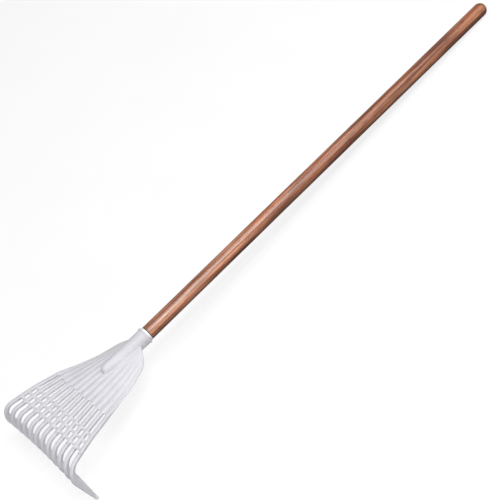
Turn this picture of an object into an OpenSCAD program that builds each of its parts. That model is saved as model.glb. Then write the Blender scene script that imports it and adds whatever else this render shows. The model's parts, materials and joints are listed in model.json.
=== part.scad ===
// Rake with a one-piece moulded head of twelve hooked tines on a round wooden handle.
// The row frame has +X towards the butt of the handle, +Z up and its origin on the floor, under the
// middle of the part. The rake stands as it rests: on its tine tips and on the underside of the butt.
//
// Each sub-part is drawn in the mouth frame: x runs from the socket's mouth towards the tines,
// z points up and the handle's axis is z = 0. place() takes the mouth frame to the row frame.

/* [Handle] */
// Diameter of the round wooden handle
handle_d = 32; // [30:1:34]
// Length of handle that shows, from the collar to the butt
handle_len = 1084; // [800:1:1300]
// Diameter of the turned-down tenon inside the socket
tenon_d = 24; // [20:1:25]
// Length of the tenon inside the socket
tenon_len = 62; // [50:1:64]

/* [Collar] */
// Thickness of the collar's flange between the wood and the socket's lip
flange_t = 5; // [3:0.5:8]
// Diameter of the collar's flange
flange_d = 33; // [31:0.5:35]
// Wall of the collar's sleeve, which fills the gap around the tenon
sleeve_wall = 1.5; // [1:0.1:2]
// Length of the sleeve inside the socket
sleeve_len = 46; // [35:1:48]

/* [Socket] */
// Outer diameter of the socket tube
tube_d = 36; // [34:0.5:38]
// Diameter of the flared lip at the socket's mouth
lip_d = 41; // [37:0.5:42]
// Length of the lip's flare
lip_len = 6; // [4:1:10]
// Length of the straight tube, from the mouth
tube_len = 52; // [48:1:56]
// Distance from the mouth to the middle of the boss's rounded nose
nose_x = 106; // [100:1:112]
// Radius of the boss's rounded nose
nose_r = 12; // [10:0.5:13]
// Height of the nose's middle above the handle's axis
nose_rise = 8; // [6:0.5:9]

/* [Fan] */
// Distance from the mouth to the point where the tines' lines meet, behind the mouth
fan_apex = 157; // [155:1:175]
// Sideways growth per millimetre between one tine and the next
fan_slope = 0.0559; // [0.05:0.0001:0.057]
// Distance from the mouth to the fan plate's front edge
plate_x = 180; // [170:1:185]
// Thickness of the fan plate
plate_t = 3.5; // [3:0.1:5]
// Distance from the mouth to the back of the wings
wing_x = 25; // [22:1:30]
// Height of the plate's top face beside the socket
wing_top = 7; // [6:0.5:8]
// Drop of the plate's edges: height lost per square millimetre of offset, at the shoulder
crown = 0.0043; // [0.004:0.0001:0.006]
// Distance from the mouth to the place where the fan has flattened out
flat_x = 230; // [220:1:235]

/* [Cross bars] */
// Distance from the mouth to the middle of the first cross bar
bar_x = 228; // [222:1:229]
// Distance from one cross bar to the next
bar_pitch = 17; // [15:0.5:17]
// Width of a cross bar
bar_w = 6; // [4:0.5:7]
// Thickness of a cross bar
bar_t = 4; // [2:0.5:4.5]

/* [Tines] */
// Width of a tine
tine_w = 9; // [7:0.5:10]
// Thickness of a tine where it is flat
tine_t = 7; // [5:0.5:7.5]
// Height of the flat tines' top face above the handle's axis
tine_top = 12.5; // [10:0.5:14]
// Distance from the mouth to the start of the bend of the two middle tines
bend_x = 278; // [277:1:290]
// How much further out the two outermost tines bend than the middle ones
bend_bow = 4.5; // [0:0.5:6]
// Radius of the outside of the bend
bend_r = 35; // [30:1:45]
// Outside radius of the bend less its inside radius
bend_step = 13; // [8:0.5:14]
// Angle by which the blade leans back towards the handle
blade_lean = 10; // [5:1:20]
// Length of the straight blade below the bend
blade_len = 65; // [50:1:70]
// Depth of the blade at its rounded tip
tip_d = 7; // [6:0.5:8]

/* [Screw] */
// Distance from the mouth to the retaining screw
screw_x = 30; // [20:1:35]
// Diameter of the screw's shank
screw_d = 4; // [3:0.5:5]
// Diameter of the screw's head
screw_head_d = 8.5; // [7:0.5:9]
// Length of the shank under the head
screw_len = 16; // [14:1:20]

/* [Hidden] */
TINES = 12;
BARS = 3;
// Gap left all round where one piece slips into another
slip = 0.1;
// Gap between a tine's rounded root and the stem in front of it
root_gap = 0.3;
socket_bore = tenon_d + 2 * sleeve_wall + 2 * slip;
tip_bore = tenon_d + 2 * slip;
bore_len = tenon_len + 2;
// The tenon starts at the wood's shoulder, behind the flange
shoulder_x = -flange_t;
butt_x = shoulder_x - handle_len;
// The middle line on which a tine is hinged, just past the last cross bar
last_bar_x = bar_x + (BARS - 1) * bar_pitch;
root_x = last_bar_x + bar_w / 2 + tine_t / 2 + root_gap + 1.5;
root_z = tine_top - tine_t / 2;
// How far a stem runs back under the fan plate
stem_lap = 7;
spot_r = 5.6;
spot_z = -tube_d / 2 - 1.5;
screw_head_t = 2.4;
slot_w = 1.2;
slot_depth = 1.1;
recess_r = 2.4;
far = 200;

function tine_k(i) = i - (TINES + 1) / 2;
function fan_v(k, x) = k * fan_slope * (x + fan_apex);
function fan_angle(k) = atan(k * fan_slope);
// Distance from the fan's apex, along a tine's own line, to the crossways line at x
function along(k, x) = (x + fan_apex) / cos(fan_angle(k));
// Where a tine's bend starts: the further from the middle, the further out
function bend_at(k) = bend_x + bend_bow * (k * k - 0.25) / (pow(tine_k(TINES), 2) - 0.25);
function clamp01(t) = min(1, max(0, t));

// Top face of the fan plate: level along the middle, and dropping towards its edges near the socket
shoulder = 62;
function middle_z(x) = wing_top + (tine_top - wing_top) * clamp01((x - 100) / (plate_x - 100));
function drop(x) = crown * pow(max(0, flat_x - x) / (flat_x - shoulder), 2);
function top_z(x, v) = middle_z(x) - drop(x) * v * v;
// Half width of the fan plate: a straight taper with a rounded shoulder behind it, which ends in the
// outermost tines' outer edges
taper = 0.417;
shoulder_w = 27.7;
back_w = 16.7;
function tapered_w(x) = back_w + taper * (x - wing_x)
    + shoulder_w * (1 - pow(1 - clamp01((x - wing_x) / (shoulder - wing_x)), 2.2));
function half_w(x) = min(tapered_w(x), fan_v(tine_k(TINES), x) + tine_w / 2);
// The wings start inside the socket's wall, and meet on the middle line past its bore
wall_v = (socket_bore + tube_d) / 4;
meet_x = 96;
function inner_v(x) = wall_v * clamp01((meet_x - x) / 18);

// Tine profile. Both faces of the bend are arcs, and the inner one is tighter, so the tine deepens.
bend_inner_r = bend_r - bend_step;
outer_centre_z = tine_top - bend_r;
inner_centre_z = tine_top - tine_t - bend_inner_r;
blade_in = [cos(blade_lean), -sin(blade_lean)];
blade_down = [-sin(blade_lean), -cos(blade_lean)];
centre_step = outer_centre_z - inner_centre_z;
blade_inner_s = -centre_step * blade_in[1]
    + sqrt(pow(centre_step * blade_in[1], 2) - centre_step * centre_step
        + bend_inner_r * bend_inner_r);

// Resting pose: the middle tines' tips and the butt's round underside touch the floor
tip_low = [bend_x, outer_centre_z] + bend_r * blade_in + blade_len * blade_down
    - (tip_d / 2) * blade_in - [0, tip_d / 2];
butt_ball_x = butt_x + handle_d / 2;
rest_run = tip_low[0] - butt_ball_x;
pitch = asin(-handle_d / 2 / norm([rest_run, tip_low[1]])) - atan2(tip_low[1], rest_run);
heel_row_x = -bend_at(tine_k(TINES)) * cos(pitch) + outer_centre_z * sin(pitch) - bend_r;
butt_row_x = -butt_ball_x * cos(pitch) + handle_d / 2;
floor_row_z = butt_ball_x * sin(pitch) - handle_d / 2;
row_shift = [-(heel_row_x + butt_row_x) / 2, 0, -floor_row_z];

function two(i) = str(i < 10 ? "0" : "", i);
function stem_name(i) = str("tine_stem_", two(i));
function tine_name(i) = str("tine_", two(i));
function bar_name(j) = str("cross_bar_", j);

PLASTIC = [0.87, 0.86, 0.89];
WOOD = [0.56, 0.31, 0.20];
$fn = 96;

// From the mouth frame to the row frame
module place() {
    translate(row_shift) rotate([0, pitch, 0]) rotate([0, 0, 180]) children();
}

// Draws a profile (distance from the apex, height) as a strip of width w along tine line k
module on_tine_line(k, w) {
    translate([-fan_apex, 0, 0]) rotate([0, 0, fan_angle(k)]) rotate([90, 0, 0])
        linear_extrude(height = w, center = true) children();
}

// A cylinder on the handle's axis between two distances from the mouth
module axial(x0, x1, d) {
    translate([x0, 0, 0]) rotate([0, 90, 0]) cylinder(d = d, h = x1 - x0);
}

// An upright cylinder at the screw's place
module screw_hole(z0, z1, d) {
    translate([screw_x, 0, z0]) cylinder(d = d, h = z1 - z0);
}

module handle() {
    color(WOOD) place() difference() {
        union() {
            axial(butt_ball_x, shoulder_x, handle_d);
            translate([butt_ball_x, 0, 0]) sphere(d = handle_d);
            axial(shoulder_x, tenon_len, tenon_d);
        }
        screw_hole(-handle_d, spot_z + screw_len + 0.5, screw_d + slip);
    }
}

module collar() {
    color("white") place() difference() {
        union() {
            axial(-flange_t, 0, flange_d);
            axial(0, sleeve_len, tenon_d + 2 * sleeve_wall);
        }
        axial(-flange_t - 1, sleeve_len + 1, tenon_d + 2 * slip);
        screw_hole(-handle_d, 0, screw_d + 0.6);
    }
}

module retaining_screw() {
    head_z = spot_z - screw_head_t;
    color("silver") place() difference() {
        union() {
            screw_hole(spot_z, spot_z + screw_len, screw_d);
            screw_hole(head_z, spot_z, screw_head_d);
        }
        for (turn = [0, 90])
            translate([screw_x, 0, head_z]) rotate([0, 0, turn])
                cube([2 * recess_r, slot_w, 2 * slot_depth], center = true);
    }
}

// The tube with its flared lip, and the boss that rises from it to a rounded nose
module socket() {
    boss_x = tube_len - 5;
    boss_run = nose_x - boss_x;
    boss_tilt = atan2(nose_rise, boss_run);
    wall_mid_z = -(socket_bore + tube_d) / 4;
    color(PLASTIC) place() difference() {
        union() {
            rotate([0, 90, 0]) rotate_extrude() polygon([
                [0, 0], [lip_d / 2, 0], [tube_d / 2, lip_len], [tube_d / 2, tube_len], [0, tube_len]]);
            translate([boss_x, 0, 0]) rotate([0, 90 - boss_tilt, 0])
                cylinder(r1 = tube_d / 2 - 0.3, r2 = nose_r - 0.3, h = norm([boss_run, nose_rise]));
            translate([nose_x, 0, nose_rise]) sphere(r = nose_r);
            screw_hole(spot_z, wall_mid_z, 2 * spot_r);
        }
        axial(-1, sleeve_len + 0.5, socket_bore);
        axial(0, bore_len, tip_bore);
        screw_hole(-handle_d, 0, screw_d + 0.6);
    }
}

// One half of the fan plate, as a sheet over a grid of stations along it and across it
module wing(side) {
    along_n = 14;
    across_n = 8;
    xs = [for (a = [0:along_n]) wing_x + (plate_x - wing_x) * pow(a / along_n, 1.25)];
    function v_at(a, c) = inner_v(xs[a]) + (half_w(xs[a]) - inner_v(xs[a])) * c / across_n;
    function id(a, c, low) = (a * (across_n + 1) + c) * 2 + low;
    points = [for (a = [0:along_n]) for (c = [0:across_n]) for (low = [0, 1])
        [xs[a], side * v_at(a, c), top_z(xs[a], v_at(a, c)) - low * plate_t]];
    top_faces = [for (a = [0:along_n - 1]) for (c = [0:across_n - 1])
        each [[id(a, c, 0), id(a, c + 1, 0), id(a + 1, c + 1, 0)],
              [id(a, c, 0), id(a + 1, c + 1, 0), id(a + 1, c, 0)]]];
    low_faces = [for (a = [0:along_n - 1]) for (c = [0:across_n - 1])
        each [[id(a, c, 1), id(a + 1, c + 1, 1), id(a, c + 1, 1)],
              [id(a, c, 1), id(a + 1, c, 1), id(a + 1, c + 1, 1)]]];
    ends = [for (c = [0:across_n - 1])
        each [[id(0, c, 0), id(0, c, 1), id(0, c + 1, 1)], [id(0, c, 0), id(0, c + 1, 1), id(0, c + 1, 0)],
              [id(along_n, c, 0), id(along_n, c + 1, 1), id(along_n, c, 1)],
              [id(along_n, c, 0), id(along_n, c + 1, 0), id(along_n, c + 1, 1)]]];
    edges = [for (a = [0:along_n - 1])
        each [[id(a, 0, 0), id(a + 1, 0, 1), id(a, 0, 1)], [id(a, 0, 0), id(a + 1, 0, 0), id(a + 1, 0, 1)],
              [id(a, across_n, 0), id(a, across_n, 1), id(a + 1, across_n, 1)],
              [id(a, across_n, 0), id(a + 1, across_n, 1), id(a + 1, across_n, 0)]]];
    faces = concat(top_faces, low_faces, ends, edges);
    color(PLASTIC) place()
        polyhedron(points, [for (f = faces) side > 0 ? f : [f[2], f[1], f[0]]]);
}

module cross_bar(j) {
    x = bar_x + (j - 1) * bar_pitch;
    reach = fan_v(tine_k(TINES), x);
    color(PLASTIC) place()
        translate([x - bar_w / 2, -reach, tine_top - tine_t]) cube([bar_w, 2 * reach, bar_t]);
}

// The straight part of a tine, from under the fan plate to just past the last cross bar
module tine_stem(i) {
    k = tine_k(i);
    start_x = plate_x - stem_lap;
    end_x = root_x - tine_t / 2 - root_gap;
    start_z = top_z(start_x, fan_v(k, start_x));
    low = -tine_t;
    color(PLASTIC) place() difference() {
        on_tine_line(k, tine_w) polygon([
            [along(k, start_x), start_z + low], [along(k, bar_x), tine_top + low],
            [along(k, end_x), tine_top + low], [along(k, end_x), tine_top],
            [along(k, bar_x), tine_top], [along(k, start_x), start_z]]);
        for (j = [0:BARS - 1])
            translate([bar_x + j * bar_pitch - bar_w / 2, -far, tine_top - tine_t - far])
                cube([bar_w, 2 * far, bar_t + far]);
    }
}

// Points along an arc, from angle a0 to angle a1
function arc(c, r, a0, a1, n) = [for (s = [0:n]) let (a = a0 + (a1 - a0) * s / n) c + r * [cos(a), sin(a)]];

// The free, hooked end of a tine, from its rounded root to its tip
module tine(i) {
    k = tine_k(i);
    root_c = [along(k, root_x), root_z];
    bend_start = along(k, bend_at(k));
    outer_c = [bend_start, outer_centre_z];
    inner_c = [bend_start, inner_centre_z];
    inner_end = outer_c + blade_inner_s * blade_in;
    inner_end_a = atan2(inner_end[1] - inner_c[1], inner_end[0] - inner_c[0]);
    tip_c = outer_c + bend_r * blade_in + blade_len * blade_down - (tip_d / 2) * blade_in;
    color(PLASTIC) place() on_tine_line(k, tine_w) polygon(concat(
        arc(root_c, tine_t / 2, 270, 90, 10),
        arc(outer_c, bend_r, 90, -blade_lean, 20),
        arc(tip_c, tip_d / 2, -blade_lean, -blade_lean - 180, 8),
        arc(inner_c, bend_inner_r, inner_end_a, 90, 16)));
}

handle();
collar();
retaining_screw();
socket();
wing(-1);  // left_wing
wing(1);  // right_wing
for (j = [1:BARS]) cross_bar(j);
for (i = [1:TINES]) tine_stem(i);
for (i = [1:TINES]) tine(i);
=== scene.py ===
"""Studio scene of a rake: a moulded plastic head with twelve hooked tines, and a lacquered
wooden handle.

Shapes are made in the mouth frame, in millimetres: x runs from the socket's mouth towards the
tines, v runs sideways and z up, and the handle's axis is v = z = 0. The record's handle_shaft
mount places that frame.
"""
import json
import math
import bmesh
import bpy
import numpy as np
from mathutils import Matrix, Vector


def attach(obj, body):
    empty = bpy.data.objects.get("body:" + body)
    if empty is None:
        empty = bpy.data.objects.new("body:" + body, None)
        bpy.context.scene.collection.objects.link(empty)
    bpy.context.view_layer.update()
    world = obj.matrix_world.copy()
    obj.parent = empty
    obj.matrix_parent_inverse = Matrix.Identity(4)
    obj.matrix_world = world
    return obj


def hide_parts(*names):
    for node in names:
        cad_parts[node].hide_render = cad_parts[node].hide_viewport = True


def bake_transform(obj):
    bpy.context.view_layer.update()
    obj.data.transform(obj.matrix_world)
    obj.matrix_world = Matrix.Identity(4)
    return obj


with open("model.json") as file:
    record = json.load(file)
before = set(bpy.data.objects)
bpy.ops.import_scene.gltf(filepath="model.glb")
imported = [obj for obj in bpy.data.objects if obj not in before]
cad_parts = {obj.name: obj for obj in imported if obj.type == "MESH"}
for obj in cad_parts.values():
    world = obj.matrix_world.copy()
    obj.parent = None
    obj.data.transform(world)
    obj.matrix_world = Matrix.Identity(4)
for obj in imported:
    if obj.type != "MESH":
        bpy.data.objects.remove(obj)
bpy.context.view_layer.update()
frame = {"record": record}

MM = 0.001

# Handle, collar and screw, in mm
HANDLE_R = 15.96
SHOULDER_X = -5.0
BUTT_X = -1088.9
SHAFT_MIDDLE_X = -539.0
TENON_R = 12.0
TENON_END_X = 62.0
COLLAR_R = 16.5
SLEEVE_R = 13.5
SLEEVE_END_X = 46.0
SCREW_X = 30.0
SCREW_HEAD_Z = -19.0
SCREW_HEAD_T = 2.4
SCREW_HEAD_R = 4.25
SCREW_R = 2.0
SCREW_LEN = 16.0
SCREW_PITCH = 1.4
SCREW_DOME_R = 5.6
THREAD_DEPTH = 0.45
RECESS_DEPTH = 1.5
RECESS_HALF_W = 0.55
RECESS_REACH = 2.1
RIPPLE = 0.12

# Socket and boss, in mm
TUBE_R = 18.0
TUBE_END_X = 52.0
LIP_R = 20.5
LIP_LEN = 6.0
BORE_R = 13.6
BORE_END_X = 46.5
TIP_BORE_R = 12.1
TIP_BORE_END_X = 64.0
BOSS_X = 47.0
BOSS_R = 17.7
NOSE_X = 106.0
NOSE_Z = 8.0
NOSE_R = 12.0
PAD_R = 5.6
LIP_CURVE = 1.5
PAD_GAP = 2.0
SOCKET_EDGE_R = 0.8
PAD_FILLET_R = 1.5
SOCKET_FILLET_R = 1.0
BORE_EDGE_R = 0.6

# Fan plate, in mm. Tines are counted by k, which runs from -OUTER_K to OUTER_K across the fan
TINES = 12
OUTER_K = TINES / 2 - 0.5
FAN_APEX = 157.0
FAN_SLOPE = 0.0559
WING_X = 25.0
SHOULDER_END_X = 62.0
BACK_HALF_W = 16.7
SHOULDER_W = 27.7
SHOULDER_CURVE = 2.2
WING_TAPER = 0.417
EDGE_BLEND = 5.0
PLATE_X = 180.0
PLATE_T = 3.5
PLATE_EDGE_R = 1.3
WING_TOP = 7.0
RISE_X = 100.0
CROWN = 0.0043
FLAT_X = 230.0
FLUTE = 1.6
FLUTE_X = 45.0
FLUTE_RUN = 55.0
RIDGE_SOFTNESS = 0.01
RIM = 3.7

# Cross bars and tines, in mm
BARS_X = (228.0, 245.0, 262.0)
BAR_W = 6.0
BAR_T = 4.0
BAR_EDGE_R = 1.2
BAR_FILLET_R = 1.2
TINE_W = 9.0
TINE_T = 7.0
TINE_TOP = 12.5
RIB_X = 148.0
RIB_SUNK = 1.6
FLAT_START_X = 228.0
LAP_X = 173.0
FLANGE_T = 2.8
WEB_STEP = 0.3
WEB_INSET = 0.4
WEB_EDGE_R = 1.2
STEP_RUN = 1.4
STEP_FILLET_R = 0.8
STEM_FILLET_R = 2.2
CORNER_R = 1.4
SEAM_X = 269.0
SEAM_SPARE = 4.0
CUT_MARGIN = 1.2
CUT_VOXELS = 2.5
BEND_X = 278.0
BEND_BOW = 4.5
BEND_R = 35.0
BEND_INNER_R = 22.0
BLADE_LEAN = math.radians(10)
BLADE_LEN = 64.95
TIP_D = 7.0
TIP_NARROWING = 0.75

# Rings of points along each part of a free tine
ROOT_RINGS = 8
BEND_RINGS = 32
BLADE_RINGS = 24
TIP_RINGS = 7
STEP_FADE_RINGS = 6

# Camera: where it stands, seen from the point it looks at
CAMERA_AIM = Vector((-0.1111, -0.0233, 0.060))
CAMERA_AZIMUTH = math.radians(-16.34)
CAMERA_ELEVATION = math.radians(39.48)
CAMERA_ROLL = math.radians(36.36)
CAMERA_DISTANCE = 2.5863
CAMERA_LENS = 88.2
CAMERA_SENSOR = 36.0

# Grid steps of the head and the screw, in mm, and the pulls that even out a skin and keep its size
VOXEL = 1.1
SCREW_VOXEL = 0.16
RELAX_PULLS = (0.5, -0.52, 0.5, -0.52)


# ---------------------------------------------------------------- frames and mesh helpers

def mouth_frame():
    """Matrix from the mouth frame, in metres, to the row frame."""
    mount = frame["record"]["mounts"][0]
    to_tines = -Vector(mount["axis"]).normalized()
    side = Vector((0, -1, 0))
    up = to_tines.cross(side)
    origin = Vector(mount["pos_m"]) - to_tines * SHAFT_MIDDLE_X * MM
    turn = Matrix((to_tines, side, up)).transposed().to_4x4()
    return Matrix.Translation(origin) @ turn


MOUTH = mouth_frame()


def mesh_object(name, points, faces, material):
    """A smooth mesh object from points in mm in the mouth frame, which are put in the row frame."""
    turn = np.array(MOUTH)
    points = np.asarray(points, float) * MM @ turn[:3, :3].T + turn[:3, 3]
    mesh = bpy.data.meshes.new(name)
    mesh.from_pydata(points.tolist(), [], [list(map(int, f)) for f in faces])
    mesh.polygons.foreach_set("use_smooth", [True] * len(mesh.polygons))
    mesh.materials.append(material)
    mesh.update()
    piece = bpy.data.objects.new(name, mesh)
    bpy.context.scene.collection.objects.link(piece)
    return piece


def outward(points, faces):
    """The faces turned so that they look outward."""
    points = np.asarray(points, float)
    volume = 0.0
    for f in faces:
        a = points[f[0]]
        for j in range(1, len(f) - 1):
            volume += np.dot(a, np.cross(points[f[j]], points[f[j + 1]]))
    return faces if volume > 0 else [list(f)[::-1] for f in faces]


def skin(field, low, step):
    """Closed quad mesh around the grid points where field is negative, with one point in each
    crossed cell."""
    inside = field < 0
    rings, places = [], []
    for axis in range(3):
        order = [axis, (axis + 1) % 3, (axis + 2) % 3]
        back = np.argsort(order)
        values, state = field.transpose(order), inside.transpose(order)
        edge = np.argwhere(state[1:] != state[:-1])
        here = values[tuple(edge.T)]
        there = values[tuple((edge + [1, 0, 0]).T)]
        place = edge.astype(float)
        place[:, 0] += here / (here - there)
        ring = np.stack([
            np.ravel_multi_index(tuple((edge - [0, b, c])[:, back].T), field.shape)
            for b, c in ((0, 0), (1, 0), (1, 1), (0, 1))], axis=1)
        leaving = here < 0
        ring[leaving] = ring[leaving, ::-1]
        rings.append(ring)
        places.append(np.repeat(place[:, back], 4, axis=0))
    rings, places = np.concatenate(rings), np.concatenate(places)
    _, corner = np.unique(rings, return_inverse=True)
    corner = corner.reshape(-1)
    share = np.bincount(corner)
    points = np.stack([np.bincount(corner, weights=places[:, c]) / share for c in range(3)], axis=1)
    faces = corner.reshape(-1, 4)[:, ::-1]
    return np.asarray(low) + relaxed(points, faces) * step, faces


def relaxed(points, faces):
    """The points evened out among their neighbours, with the shape's size kept."""
    a, b = faces.ravel(), np.roll(faces, -1, axis=1).ravel()
    count = np.bincount(a, minlength=len(points)) + np.bincount(b, minlength=len(points))
    for pull in RELAX_PULLS:
        middle = np.stack([
            np.bincount(a, points[b, c], len(points)) + np.bincount(b, points[a, c], len(points))
            for c in range(3)], axis=1) / count[:, None]
        points = points + pull * (middle - points)
    return points


def grid(low, high, step):
    """Axes of a grid of points, shaped so that they combine by broadcasting."""
    axes = [np.arange(a, b + step, step) for a, b in zip(low, high)]
    return axes[0][:, None, None], axes[1][None, :, None], axes[2][None, None, :]


def rounded_overlap(fields, r):
    """What lies inside every field, with its edges rounded to radius r."""
    fields = np.broadcast_arrays(*fields)
    deepest = np.maximum.reduce(fields)
    corner = np.sqrt(sum(np.maximum(f + r, 0) ** 2 for f in fields))
    return np.minimum(deepest + r, 0) + corner - r


def filleted_union(a, b, r):
    """What lies inside either field, with a fillet of radius r where they meet."""
    near = np.hypot(np.maximum(r - a, 0), np.maximum(r - b, 0))
    return np.maximum(r, np.minimum(a, b)) - near


def smooth_step(t):
    t = np.clip(t, 0, 1)
    return t * t * (3 - 2 * t)


# ---------------------------------------------------------------- the moulded head

def fan_v(k, x):
    """Where tine line k crosses the crossways line at x."""
    return k * FAN_SLOPE * (x + FAN_APEX)


def fan_angle(k):
    return math.atan(k * FAN_SLOPE)


def along(k, x):
    """Distance from the fan's apex, on tine line k, to the crossways line at x."""
    return (x + FAN_APEX) / math.cos(fan_angle(k))


def half_width(x):
    """Half the plate's width: round shoulders, straight tapering sides, and at last the edge of
    the outermost tine."""
    shoulder_share = np.clip((x - WING_X) / (SHOULDER_END_X - WING_X), 0, 1)
    shoulder = 1 - (1 - shoulder_share) ** SHOULDER_CURVE
    tapered = BACK_HALF_W + WING_TAPER * (x - WING_X) + SHOULDER_W * shoulder
    outermost = fan_v(OUTER_K, x) + TINE_W / 2
    share = np.clip(0.5 + 0.5 * (outermost - tapered) / EDGE_BLEND, 0, 1)
    return outermost + (tapered - outermost) * share - EDGE_BLEND * share * (1 - share)


def crown(x):
    """How strongly the plate curves down sideways at x: most at its back, not at all at FLAT_X."""
    return CROWN * (np.maximum(0, FLAT_X - x) / (FLAT_X - SHOULDER_END_X)) ** 2


def plate_top(x, v):
    rise = np.clip((x - RISE_X) / (PLATE_X - RISE_X), 0, 1)
    return WING_TOP + (TINE_TOP - WING_TOP) * rise - crown(x) * v * v


def flutes(x, v):
    """Depth of the valleys between the ridges, which carry the tines' lines on over the plate."""
    straight = v / (FAN_SLOPE * (x + FAN_APEX))
    following = OUTER_K * v / (half_width(x) - RIM)
    share = np.clip(np.abs(following) / OUTER_K, 0, 1) ** 3
    line = np.clip(straight + (following - straight) * share, -OUTER_K, OUTER_K)
    valley = 1 - np.sqrt(np.sin(math.pi * line) ** 2 + RIDGE_SOFTNESS)
    return FLUTE * smooth_step((x - FLUTE_X) / FLUTE_RUN) * valley


def plate_field(x, v, z):
    middle = plate_top(x, v) - flutes(x, v) - PLATE_T / 2
    steep = np.hypot(1, 2 * crown(x) * v)
    width = half_width(x)
    slope = np.gradient(width.ravel(), x.ravel()).reshape(width.shape)
    return rounded_overlap([
        (np.abs(z - middle) - PLATE_T / 2) / steep,
        (np.abs(v) - width) / np.hypot(1, slope),
        x - PLATE_X, WING_X - x], PLATE_EDGE_R)


def stem_field(x, v, z):
    """The straight parts of all the tines: a flat flange with a narrower web under it."""
    k = np.clip(np.floor(v / (FAN_SLOPE * (x + FAN_APEX))) + 0.5, -OUTER_K, OUTER_K)
    line_v = fan_v(k, x)
    angle = np.arctan(k * FAN_SLOPE)
    across = np.abs(v - line_v) * np.cos(angle)
    start = plate_top(LAP_X, fan_v(k, LAP_X))
    rise = np.clip((x - LAP_X) / (FLAT_START_X - LAP_X), 0, 1)
    crest = np.where(x < LAP_X, plate_top(x, line_v), start + (TINE_TOP - start) * rise)
    grown = smooth_step((x - RIB_X) / (LAP_X - RIB_X))
    thick = PLATE_T - RIB_SUNK + (TINE_T - PLATE_T + RIB_SUNK) * grown
    below = crest - RIB_SUNK * (1 - grown) - z
    sides = np.maximum(across - TINE_W / 2, np.abs(v) - half_width(x))
    ends = [RIB_X - x, x - SEAM_X - SEAM_SPARE]
    flange = rounded_overlap([sides, -below, below - FLANGE_T, *ends], CORNER_R)
    web = rounded_overlap([sides + WEB_STEP, -below - WEB_INSET, below - thick, *ends], WEB_EDGE_R)
    return filleted_union(flange, web, STEP_FILLET_R)


def bar_field(x, v, z):
    """The cross bars, which are level with the tines' lower faces."""
    bars = np.minimum.reduce([np.abs(x - bar) for bar in BARS_X]) - BAR_W / 2
    reach = np.abs(v) - fan_v(OUTER_K, x)
    low = TINE_TOP - TINE_T
    return rounded_overlap([bars, reach, low - z, z - low - BAR_T], BAR_EDGE_R)


def socket_field(x, v, z):
    """The tube with its flared lip, the boss with its rounded nose, and the pad for the screw."""
    radial = np.hypot(v, z)
    flare = (LIP_R - TUBE_R) * np.clip(1 - x / LIP_LEN, 0, 1) ** LIP_CURVE
    tube = rounded_overlap([radial - TUBE_R - flare, -x, x - TUBE_END_X], SOCKET_EDGE_R)
    run = NOSE_X - BOSS_X
    t = np.clip(((x - BOSS_X) * run + z * NOSE_Z) / (run ** 2 + NOSE_Z ** 2), 0, 1)
    boss = np.sqrt((x - BOSS_X - t * run) ** 2 + v ** 2 + (z - t * NOSE_Z) ** 2)
    boss = boss - BOSS_R - (NOSE_R - BOSS_R) * t
    pad = rounded_overlap([
        np.hypot(x - SCREW_X, v) - PAD_R, SCREW_HEAD_Z - z, z + BORE_R + PAD_GAP], SOCKET_EDGE_R)
    return filleted_union(np.minimum(tube, boss), pad, PAD_FILLET_R)


def bore_field(x, v, z):
    """What is hollow: the bore for the sleeve, the narrower one for the tenon's end, and the
    screw's hole."""
    radial = np.hypot(v, z)
    wide = np.maximum(radial - BORE_R, x - BORE_END_X)
    narrow = np.maximum(radial - TIP_BORE_R, x - TIP_BORE_END_X)
    hole = np.maximum(np.hypot(x - SCREW_X, v) - SCREW_R - 0.3, z)
    return np.minimum.reduce(np.broadcast_arrays(wide, narrow, hole))


def cut_at_seams(mesh):
    """Cuts each stem square to its own line just past the last bar, and closes it."""
    work = bmesh.new()
    work.from_mesh(mesh)
    inverse = MOUTH.inverted()
    beside, behind = (TINE_W / 2 + CUT_MARGIN) * MM, CUT_VOXELS * VOXEL * MM
    for i in range(TINES):
        k = i - OUTER_K
        angle = fan_angle(k)
        seam = Vector((SEAM_X, fan_v(k, SEAM_X), 0)) * MM
        ahead = Vector((math.cos(angle), math.sin(angle), 0))
        side = Vector((-math.sin(angle), math.cos(angle), 0))
        near = set()
        for vert in work.verts:
            offset = inverse @ vert.co - seam
            if abs(offset.dot(side)) < beside and offset.dot(ahead) > -behind:
                near.add(vert)
        faces = {f for vert in near for f in vert.link_faces}
        edges = {e for f in faces for e in f.edges}
        verts = {p for f in faces for p in f.verts}
        cut = bmesh.ops.bisect_plane(
            work, geom=list(verts | edges | faces), plane_co=MOUTH @ seam,
            plane_no=MOUTH.to_3x3() @ ahead, clear_outer=True)
        rim = [e for e in cut["geom_cut"] if isinstance(e, bmesh.types.BMEdge)]
        for e in rim:
            e.smooth = False
        bmesh.ops.holes_fill(work, edges=rim, sides=0)
    work.to_mesh(mesh)
    work.free()


def make_head(material):
    """The moulding up to its seams, as one skin. The grid holds all of it with room to spare."""
    side = fan_v(TINES / 2, SEAM_X) + 4
    low, high = (-3, -side, -23), (SEAM_X + 8, side, 24)
    x, v, z = grid(low, high, VOXEL)
    fan = filleted_union(plate_field(x, v, z), stem_field(x, v, z), STEM_FILLET_R)
    fan = filleted_union(fan, bar_field(x, v, z), BAR_FILLET_R)
    head = filleted_union(fan, socket_field(x, v, z), SOCKET_FILLET_R)
    head = rounded_overlap([head, -bore_field(x, v, z)], BORE_EDGE_R)
    points, faces = skin(head, low, VOXEL)
    piece = mesh_object("rake_head", points, faces, material)
    cut_at_seams(piece.data)
    return piece


# ---------------------------------------------------------------- the free tines

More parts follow.
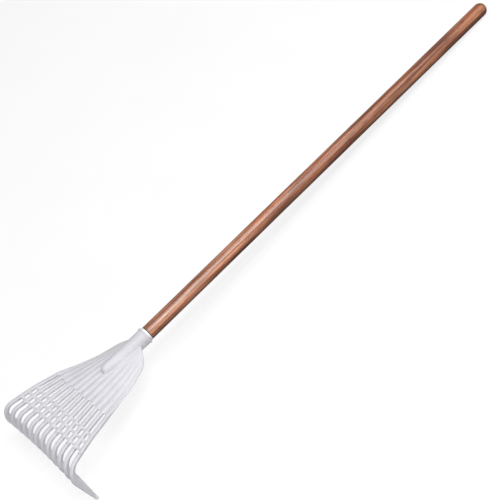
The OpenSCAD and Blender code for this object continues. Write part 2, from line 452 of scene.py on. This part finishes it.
def tine_section(width, depth, step):
    """Outline of a tine across its length, as (sideways, depth below the outer face). Its web is
    narrower than its flange by step on each side."""
    r = min(CORNER_R, depth / 2.01, width / 2.01)
    half, web = width / 2, width / 2 - step
    step_at = min(FLANGE_T, depth * 0.5)
    turn = [math.radians(a) for a in (0, 22.5, 45, 67.5, 90)]
    right = [(0, 0)]
    right += [(half - r + r * math.sin(a), r - r * math.cos(a)) for a in turn]
    ramp = (0, 0.33, 0.67, 1)
    if depth > 2 * step_at + 0.2:
        right += [(half - step * f * f * (3 - 2 * f), (step_at - STEP_RUN / 2) + STEP_RUN * f)
                  for f in ramp]
    else:
        right += [(half, max(r, depth / 2))] * len(ramp)
    right += [(web - r + r * math.cos(a), depth - r + r * math.sin(a)) for a in turn]
    right += [(0, depth)]
    left = [(-s, d) for s, d in right[-2:0:-1]]
    return right + left


def tine_path(k):
    """Pairs of an outer and an inner point down a tine, as (distance from the apex, height): the
    straight root, the bend, the blade and its round tip. The outer tines bend further out."""
    bow = BEND_BOW * (k * k - 0.25) / (OUTER_K ** 2 - 0.25)
    seam, bend = along(k, SEAM_X), along(k, BEND_X + bow)
    outer_c = Vector((bend, TINE_TOP - BEND_R))
    inner_c = Vector((bend, TINE_TOP - TINE_T - BEND_INNER_R))
    blade_in = Vector((math.cos(BLADE_LEAN), -math.sin(BLADE_LEAN)))
    blade_down = Vector((-math.sin(BLADE_LEAN), -math.cos(BLADE_LEAN)))
    lift = outer_c.y - inner_c.y
    reach = -lift * blade_in.y + math.sqrt((lift * blade_in.y) ** 2 - lift ** 2 + BEND_INNER_R ** 2)
    inner_end = outer_c + reach * blade_in
    inner_angle = math.atan2(inner_end.y - inner_c.y, inner_end.x - inner_c.x)
    outer_end = outer_c + BEND_R * blade_in
    tip_c = outer_end + BLADE_LEN * blade_down - TIP_D / 2 * blade_in
    path = []
    for f in np.linspace(0, 1, ROOT_RINGS):
        s = seam + (bend - seam) * f
        path.append((Vector((s, TINE_TOP)), Vector((s, TINE_TOP - TINE_T))))
    for f in np.linspace(0, 1, BEND_RINGS + 1)[1:]:
        a = math.pi / 2 - (math.pi / 2 + BLADE_LEAN) * f
        b = math.pi / 2 + (inner_angle - math.pi / 2) * f
        path.append((outer_c + BEND_R * Vector((math.cos(a), math.sin(a))),
                     inner_c + BEND_INNER_R * Vector((math.cos(b), math.sin(b)))))
    for f in np.linspace(0, 1, BLADE_RINGS + 1)[1:]:
        path.append((outer_end + BLADE_LEN * blade_down * f,
                     inner_end.lerp(tip_c - TIP_D / 2 * blade_in, f)))
    for f in np.linspace(0, 1, TIP_RINGS + 2)[1:-1]:
        a = math.pi / 2 * f
        fore, down = TIP_D / 2 * math.cos(a) * blade_in, TIP_D / 2 * math.sin(a) * blade_down
        path.append((tip_c + fore + down, tip_c - fore + down))
    return path


def make_tine(i, material):
    """The free end of tine i, counted from 1, as rings of points swept down its path."""
    k = i - (TINES + 1) / 2
    angle = fan_angle(k)
    path = tine_path(k)
    tip_start = ROOT_RINGS + BEND_RINGS + BLADE_RINGS
    rings = []
    for n, (outer, inner) in enumerate(path):
        depth = (outer - inner).length
        to_tip = max(0, n - tip_start + 1) / (len(path) - tip_start + 1)
        width = TINE_W * math.sqrt(1 - TIP_NARROWING * to_tip ** 2)
        step = WEB_STEP * (1 - smooth_step((n - tip_start + STEP_FADE_RINGS) / STEP_FADE_RINGS))
        inward = (inner - outer).normalized()
        ring = []
        for side, d in tine_section(width, depth, step):
            s, h = outer + inward * d
            ring.append((s * math.cos(angle) - side * math.sin(angle) - FAN_APEX,
                         s * math.sin(angle) + side * math.cos(angle), h))
        rings.append(ring)
    count = len(rings[0])
    points = [p for ring in rings for p in ring]
    starts = [a * count for a in range(len(rings))]
    faces = [[here + b, here + (b + 1) % count, after + (b + 1) % count, after + b]
             for here, after in zip(starts, starts[1:]) for b in range(count)]
    faces += [list(range(count))[::-1], [starts[-1] + b for b in range(count)]]
    piece = mesh_object(f"tine_end_{i:02d}", points, outward(points, faces), material)
    keep_rim_sharp(piece.data, count)
    return piece


def keep_rim_sharp(mesh, count):
    """The ring of points at the seam shades as the tine's sides do, apart from its closing face."""
    for e in mesh.edges:
        if e.vertices[0] < count and e.vertices[1] < count:
            e.use_edge_sharp = True


# ---------------------------------------------------------------- handle, collar and screw

def revolve(profile, segments, closed):
    """Mesh of a profile (x, radius) turned about the x axis. A closed profile is a loop, and any
    other starts and ends on the axis or is left open there."""
    points, rows = [], []
    for x, r in profile:
        if r < 1e-6:
            rows.append([len(points)] * segments)
            points.append((x, 0, 0))
            continue
        rows.append(list(range(len(points), len(points) + segments)))
        for s in range(segments):
            a = 2 * math.pi * s / segments
            points.append((x, r * math.cos(a), r * math.sin(a)))
    pairs = list(zip(rows, rows[1:])) + ([(rows[-1], rows[0])] if closed else [])
    faces = []
    for a, b in pairs:
        for s in range(segments):
            t = (s + 1) % segments
            face = [a[s], a[t], b[t], b[s]]
            faces.append(list(dict.fromkeys(face)))
    return points, outward(points, faces)


def rounded_corner(x, r, radius, quarter, steps=5):
    """Points of a rounded corner about (x, r), starting at a multiple of 90 degrees."""
    turn = [math.pi / 2 * (quarter + s / steps) for s in range(steps + 1)]
    return [(x + radius * math.cos(a), r + radius * math.sin(a)) for a in turn]


def crease(mesh, degrees=40):
    mesh.set_sharp_from_angle(angle=math.radians(degrees))


def make_handle(material):
    """A turned pole: rounded butt, faint ripples left by the lathe and sander, chamfered shoulder
    and tenon."""
    ball_x = BUTT_X + HANDLE_R
    dome = [(ball_x - HANDLE_R * math.cos(a), HANDLE_R * math.sin(a))
            for a in np.linspace(0, math.pi / 2, 17)]
    shaft = []
    for x in np.linspace(ball_x, SHOULDER_X - 1.5, 260)[1:]:
        ripple = 0.5 + 0.3 * math.sin(x / 23.0) + 0.2 * math.sin(x / 9.1 + 1.0)
        ease = min(1, (x - ball_x) / 30)
        shaft.append((x, HANDLE_R - RIPPLE * ripple * ease))
    shoulder = [(SHOULDER_X - 1.0, HANDLE_R - 0.2), (SHOULDER_X - 0.4, HANDLE_R - 0.7),
                (SHOULDER_X, HANDLE_R - 1.3), (SHOULDER_X, TENON_R)]
    tenon = [(TENON_END_X - 1.5, TENON_R), (TENON_END_X, TENON_R - 1.5), (TENON_END_X, 0)]
    points, faces = revolve(dome + shaft + shoulder + tenon, 72, closed=False)
    piece = mesh_object("wooden_handle", points, faces, material)
    crease(piece.data)
    return piece


def make_collar(material):
    """The white reducing sleeve, whose flange shows between the wood and the socket's lip."""
    bore = TENON_R + 0.1
    front, back = 0.6, 0.8
    profile = rounded_corner(-front, COLLAR_R - front, front, 0)[::-1]
    profile += [(0, SLEEVE_R), (SLEEVE_END_X - 0.6, SLEEVE_R), (SLEEVE_END_X, SLEEVE_R - 0.6),
                (SLEEVE_END_X, bore), (SHOULDER_X, bore)]
    profile += rounded_corner(SHOULDER_X + back, COLLAR_R - back, back, 1)[::-1]
    points, faces = revolve(profile, 96, closed=True)
    piece = mesh_object("white_collar", points, faces, material)
    crease(piece.data)
    return piece


def make_screw(material):
    """A pan-head screw with a cross recess and a rolled thread."""
    bottom = SCREW_HEAD_Z - SCREW_HEAD_T
    low = (SCREW_X - 5, -5, bottom - 0.6)
    high = (SCREW_X + 5, 5, SCREW_HEAD_Z + SCREW_LEN + 0.6)
    x, v, z = grid(low, high, SCREW_VOXEL)
    x = x - SCREW_X
    radial = np.hypot(x, v)
    dome = np.sqrt(x ** 2 + v ** 2 + (z - bottom - SCREW_DOME_R) ** 2) - SCREW_DOME_R
    head = rounded_overlap([radial - SCREW_HEAD_R, dome, z - SCREW_HEAD_Z], 0.3)
    slots = [np.maximum(np.abs(a) - RECESS_HALF_W, np.abs(b) - RECESS_REACH)
             for a, b in ((x, v), (v, x))]
    recess = np.maximum(np.minimum(*slots), z - bottom - RECESS_DEPTH)
    head = rounded_overlap([head, -recess], 0.15)
    wind = (z / SCREW_PITCH - np.arctan2(v, x) / (2 * math.pi)) % 1.0
    fade = smooth_step((SCREW_HEAD_Z + SCREW_LEN - z) / 4)
    thread = THREAD_DEPTH * (1 - np.abs(2 * wind - 1)) * fade
    point = 0.6 * smooth_step((z - SCREW_HEAD_Z - SCREW_LEN + 3) / 3)
    core = SCREW_R - THREAD_DEPTH + thread - point
    shank = np.maximum.reduce(np.broadcast_arrays(
        (radial - core) * 0.8, SCREW_HEAD_Z - 1 - z, z - SCREW_HEAD_Z - SCREW_LEN))
    points, faces = skin(np.minimum(head, shank), low, SCREW_VOXEL)
    return mesh_object("pan_head_screw", points, faces, material)


# ---------------------------------------------------------------- materials

class Shader:
    """A node material under construction: makes nodes and links them."""

    def __init__(self, name):
        self.material = bpy.data.materials.new(name)
        self.material.use_nodes = True
        self.tree = self.material.node_tree
        self.surface = next(n for n in self.tree.nodes if n.type == "BSDF_PRINCIPLED")
        row_point = self.node("ShaderNodeTexCoord").outputs["Object"]
        inverse = MOUTH.inverted()
        self.point = self.node("ShaderNodeMapping", {
            "Vector": row_point, "Location": inverse.to_translation(),
            "Rotation": inverse.to_euler()}).outputs[0]

    def node(self, kind, inputs=None, **settings):
        made = self.tree.nodes.new(kind)
        for key, value in settings.items():
            setattr(made, key, value)
        for key, value in (inputs or {}).items():
            self.put(made.inputs[key], value)
        return made

    def put(self, socket, value):
        if isinstance(value, bpy.types.NodeSocket):
            self.tree.links.new(value, socket)
        else:
            socket.default_value = value

    def set(self, **values):
        """Sets or links the surface's inputs, named with underscores for spaces."""
        for key, value in values.items():
            self.put(self.surface.inputs[key.replace("_", " ")], value)

    def stretched(self, scale):
        """The mouth frame's coordinates, scaled on each axis."""
        return self.node("ShaderNodeMapping", {"Vector": self.point, "Scale": scale}).outputs[0]

    def noise(self, point, scale, detail=4.0, roughness=0.5, distortion=0.0):
        return self.node("ShaderNodeTexNoise", {
            "Vector": point, "Scale": scale, "Detail": detail,
            "Roughness": roughness, "Distortion": distortion}).outputs[0]

    def ramp(self, value, stops):
        made = self.node("ShaderNodeValToRGB", {"Fac": value})
        elements = made.color_ramp.elements
        while len(elements) < len(stops):
            elements.new(0.5)
        for element, (place, colour) in zip(elements, stops):
            element.position = place
            element.color = (*colour, 1)
        return made.outputs[0]

    def remap(self, value, low, high, to_low, to_high):
        return self.node("ShaderNodeMapRange", {
            "Value": value, "From Min": low, "From Max": high,
            "To Min": to_low, "To Max": to_high}).outputs[0]

    def maths(self, operation, a, b):
        made = self.node("ShaderNodeMath", operation=operation)
        self.put(made.inputs[0], a)
        self.put(made.inputs[1], b)
        return made.outputs[0]

    def mix(self, share, a, b, kind="MIX"):
        made = self.node("ShaderNodeMix", data_type="RGBA", blend_type=kind)
        self.put(made.inputs[0], share)
        for socket, value in ((made.inputs[6], a), (made.inputs[7], b)):
            self.put(socket, value if isinstance(value, bpy.types.NodeSocket) else (*value, 1))
        return made.outputs[2]

    def bump(self, height, distance, strength):
        return self.node("ShaderNodeBump", {
            "Height": height, "Distance": distance, "Strength": strength}).outputs[0]


def head_plastic():
    """Pale lavender-grey moulded plastic: faint flow clouds, fine mould grain, scratches, and
    edges paled partly by wear and partly by a painted highlight."""
    s = Shader("head_plastic")
    dim, bright = (0.675, 0.665, 0.71), (0.735, 0.725, 0.765)
    worn_edge_and_highlight, scratched = (0.80, 0.79, 0.82), (0.60, 0.59, 0.62)
    clouds = s.noise(s.point, 22, detail=3, roughness=0.55)
    colour = s.ramp(clouds, ((0.3, dim), (0.7, bright)))
    pointed = s.node("ShaderNodeNewGeometry").outputs["Pointiness"]
    # Convex edges, picked out by pointiness, are mixed towards a paler colour: partly edge wear,
    # partly a painted highlight.
    edge = s.maths("MULTIPLY", s.remap(pointed, 0.47, 0.56, 0, 1), 0.25)
    colour = s.mix(edge, colour, worn_edge_and_highlight)
    scratches = s.noise(s.stretched((60, 900, 900)), 1, detail=2, roughness=0.6)
    colour = s.mix(s.remap(scratches, 0.62, 0.75, 0, 0.2), colour, scratched)
    grain = s.noise(s.point, 1800, detail=2, roughness=0.6)
    s.set(Base_Color=colour, Roughness=s.remap(clouds, 0.3, 0.7, 0.46, 0.58),
          Normal=s.bump(grain, 0.00006, 0.5), IOR=1.49, Subsurface_Weight=0.6,
          Subsurface_Radius=(1.0, 1.0, 1.0), Subsurface_Scale=0.008)
    return s.material


def collar_plastic():
    """Pure white polythene, with faint turning marks and mottling."""
    s = Shader("collar_plastic")
    mottle = s.noise(s.point, 70, detail=3)
    colour = s.ramp(mottle, ((0.3, (0.90, 0.90, 0.90)), (0.7, (0.95, 0.95, 0.945))))
    marks = s.noise(s.stretched((2600, 60, 60)), 1, detail=2)
    s.set(Base_Color=colour, Roughness=s.remap(mottle, 0.3, 0.7, 0.3, 0.42),
          Normal=s.bump(marks, 0.00005, 0.5), IOR=1.5)
    return s.material


def screw_steel():
    """Zinc-plated steel, cloudy where the plating has dulled."""
    s = Shader("screw_steel")
    dull = s.noise(s.point, 420, detail=4, roughness=0.6)
    colour = s.ramp(dull, ((0.3, (0.50, 0.49, 0.46)), (0.7, (0.66, 0.67, 0.68))))
    brushed = s.noise(s.stretched((900, 900, 9000)), 1, detail=2)
    s.set(Base_Color=colour, Metallic=1.0, Roughness=s.remap(dull, 0.3, 0.7, 0.25, 0.45),
          Normal=s.bump(brushed, 0.00002, 0.4))
    return s.material


def handle_wood():
    """Red-brown stained hardwood under lacquer. Its grain runs along x, the handle's own axis."""
    s = Shader("handle_wood")
    fibre_brown, pore_brown = (0.20, 0.075, 0.04), (0.085, 0.028, 0.014)
    shoulder_painted_shade, underside_shade = (0.05, 0.02, 0.012), (0.06, 0.02, 0.012)
    drift = s.noise(s.stretched((7, 45, 45)), 1, detail=3, roughness=0.55)
    bands = s.noise(s.stretched((3.2, 130, 130)), 1, detail=5, roughness=0.62, distortion=0.35)
    fibres = s.noise(s.stretched((16, 1100, 1100)), 1, detail=3, roughness=0.6)
    colour = s.ramp(bands, (
        (0.32, (0.150, 0.043, 0.020)), (0.43, (0.330, 0.110, 0.052)),
        (0.53, (0.540, 0.215, 0.112)), (0.66, (0.760, 0.390, 0.240))))
    tone = s.ramp(drift, (
        (0.36, (0.60, 0.52, 0.50)), (0.5, (1.0, 1.0, 1.0)), (0.64, (1.28, 1.20, 1.12))))
    colour = s.mix(1.0, colour, tone, "MULTIPLY")
    colour = s.mix(s.remap(fibres, 0.35, 0.65, 0.0, 0.34), colour, fibre_brown)
    flecks = s.noise(s.stretched((48, 520, 520)), 1, detail=2)
    fleck = s.remap(flecks, 0.60, 0.70, 0, 0.75)
    colour = s.mix(fleck, colour, pore_brown)
    x, _, z = s.node("ShaderNodeSeparateXYZ", {"Vector": s.point}).outputs
    # Painted shade: the wood is darkened from just behind the shoulder onwards, where it meets the
    # collar.
    colour = s.mix(s.remap(x, -0.0078, -0.0062, 0, 0.85), colour, shoulder_painted_shade)
    colour = s.mix(s.remap(z, -0.007, 0.001, 0.55, 0), colour, underside_shade)
    height = s.maths("SUBTRACT", fibres, s.maths("MULTIPLY", fleck, 0.8))
    s.set(Base_Color=colour, Roughness=s.remap(bands, 0.3, 0.7, 0.50, 0.36),
          Normal=s.bump(height, 0.00012, 0.45), IOR=1.5, Coat_Weight=0.8, Coat_Roughness=0.32)
    return s.material


def floor_paper():
    """Matt off-white paper, faintly mottled. It glows, so that the rake's shadow stays pale."""
    s = Shader("floor_paper")
    mottle = s.noise(s.point, 6, detail=3)
    s.set(Base_Color=s.ramp(mottle, ((0.3, (0.22, 0.22, 0.22)), (0.7, (0.235, 0.235, 0.235)))),
          Roughness=0.95, Emission_Color=(1, 0.992, 0.997, 1), Emission_Strength=0.80)
    return s.material


# ---------------------------------------------------------------- the studio

def make_floor():
    half = 8.0
    mesh = bpy.data.meshes.new("floor")
    corners = [(-half, -half, 0), (half, -half, 0), (half, half, 0), (-half, half, 0)]
    mesh.from_pydata(corners, [], [[0, 1, 2, 3]])
    mesh.materials.append(floor_paper())
    floor = bpy.data.objects.new("floor", mesh)
    bpy.context.scene.collection.objects.link(floor)
    floor.visible_diffuse = False
    floor.visible_glossy = False


def make_light(name, place, aim, size, power):
    """A softbox of the given size, the first side of which lies along the handle."""
    lamp = bpy.data.lights.new(name, "AREA")
    lamp.shape = "RECTANGLE"
    lamp.size, lamp.size_y = size
    lamp.energy = power
    light = bpy.data.objects.new(name, lamp)
    light.location = place
    back = (Vector(place) - Vector(aim)).normalized()
    across = back.cross(Vector((1, 0, 0))).normalized()
    light.rotation_euler = Matrix((across.cross(back), across, back)).transposed().to_euler()
    light.visible_camera = False
    bpy.context.scene.collection.objects.link(light)


def make_studio():
    """A softbox, two strips for the highlights along the rake, and three dim cards by its head."""
    world = bpy.data.worlds.new("studio")
    world.use_nodes = True
    background = next(n for n in world.node_tree.nodes if n.type == "BACKGROUND")
    background.inputs["Color"].default_value = (0.98, 0.985, 1.0, 1)
    background.inputs["Strength"].default_value = 0.15
    bpy.context.scene.world = world
    make_light("key", place=(0.8, -2.1, 4.3), aim=(-0.1, 0, 0), size=(2.4, 2.0), power=150)
    make_light("top_strip", place=(0, 0, 2.6), aim=(0, 0, 0), size=(2.6, 0.35), power=16)
    make_light("front_strip", place=(0, -3.0, 0.75), aim=(0, 0, 0.05), size=(2.6, 0.3), power=14)
    make_light("heel_card", place=(-1.25, 0, 0.12), aim=(-0.7, 0, 0.04), size=(0.5, 1.0), power=1.5)
    make_light("near_card", place=(-0.6, -0.75, 0.3), aim=(-0.6, -0.1, 0.05), size=(0.6, 0.5),
               power=0.75)
    make_light("under_card", place=(-0.57, 0, 0.004), aim=(-0.57, 0, 0.1), size=(0.35, 0.3),
               power=0.25)
    bpy.context.scene.view_settings.view_transform = "Standard"
    make_floor()


def make_camera():
    cos_e = math.cos(CAMERA_ELEVATION)
    back = Vector((math.sin(CAMERA_AZIMUTH) * cos_e, -math.cos(CAMERA_AZIMUTH) * cos_e,
                   math.sin(CAMERA_ELEVATION)))
    data = bpy.data.cameras.new("camera")
    data.lens = CAMERA_LENS
    data.sensor_width = CAMERA_SENSOR
    camera = bpy.data.objects.new("camera", data)
    camera.location = CAMERA_AIM + back * CAMERA_DISTANCE
    level = (-back).to_track_quat("-Z", "Y").to_matrix()
    camera.rotation_euler = (level @ Matrix.Rotation(-CAMERA_ROLL, 3, "Z")).to_euler()
    bpy.context.scene.collection.objects.link(camera)
    bpy.context.scene.camera = camera


# ---------------------------------------------------------------- putting it together

def place(piece, body, slot, *nodes):
    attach(piece, body)
    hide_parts(*nodes)


def make_rake():
    plastic = head_plastic()
    place(make_handle(handle_wood()), "rake", "handle_wood", "handle")
    place(make_collar(collar_plastic()), "rake", "collar_plastic", "collar")
    place(make_screw(screw_steel()), "rake", "screw_steel", "retaining_screw")
    stems = [f"tine_stem_{i:02d}" for i in range(1, TINES + 1)]
    bars = [f"cross_bar_{j + 1}" for j in range(len(BARS_X))]
    place(make_head(plastic), "rake", "head_plastic",
          "socket", "left_wing", "right_wing", *bars, *stems)
    for i in range(1, TINES + 1):
        tine = make_tine(i, plastic)
        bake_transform(tine)
        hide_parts(f"tine_{i:02d}")


make_camera()
make_studio()
make_rake()
